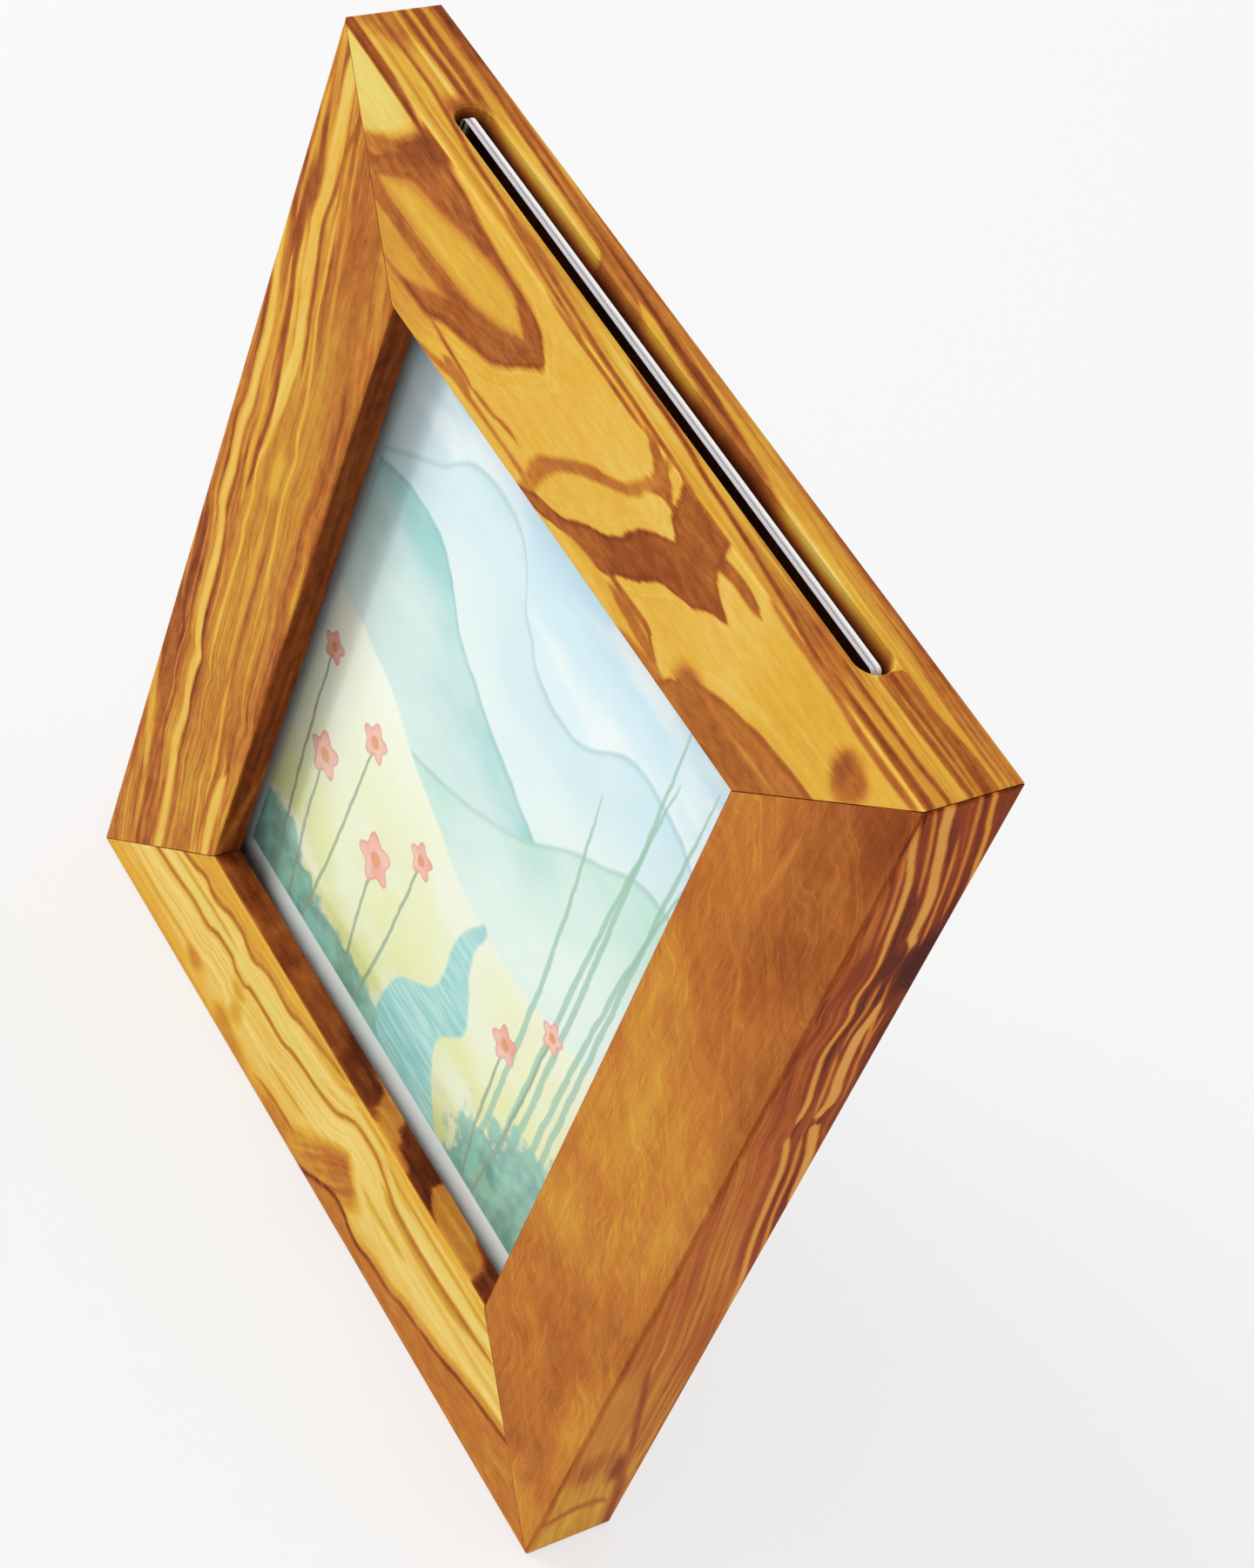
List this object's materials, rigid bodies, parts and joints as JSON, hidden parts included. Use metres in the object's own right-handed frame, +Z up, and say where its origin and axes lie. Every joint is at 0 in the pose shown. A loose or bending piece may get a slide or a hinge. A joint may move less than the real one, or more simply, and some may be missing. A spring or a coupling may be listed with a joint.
{
  "type": "wooden picture frame",
  "caption": "Upright mitred wooden picture frame with a round-ended slot through its top rail, where a postcard between clear panes drops into an inner groove.",
  "frame": {"origin": "middle of the bottom rail's underside, on the surface that the frame stands on", "axes": "+Z up along the frame's height, front of the picture towards -Y, +X to the right seen from the front"},
  "size_m": [0.15, 0.016, 0.18],
  "materials": {
    "olive_wood": "satin",
    "beech": "matte",
    "clear_sheet": "polished",
    "card": "matte"
  },
  "bodies": {
    "frame": {"top_rail": "olive_wood", "bottom_rail": "olive_wood", "left_rail": "olive_wood", "right_rail": "olive_wood", "top_left_biscuit": "beech", "top_right_biscuit": "beech", "bottom_left_biscuit": "beech", "bottom_right_biscuit": "beech"},
    "front_sheet": {"front_pane": "clear_sheet"},
    "card": {"picture_card": "card"},
    "rear_sheet": {"rear_pane": "clear_sheet"}
  },
  "joints": [
    {"name": "front_pane_lift", "type": "slide", "parent": "frame", "child": "front_sheet", "axis": [0, 0, 1], "range_m": [0, 0.16]},
    {"name": "card_lift", "type": "slide", "parent": "frame", "child": "card", "axis": [0, 0, 1], "range_m": [0, 0.16]},
    {"name": "rear_pane_lift", "type": "slide", "parent": "frame", "child": "rear_sheet", "axis": [0, 0, 1], "range_m": [0, 0.16]}
  ]
}
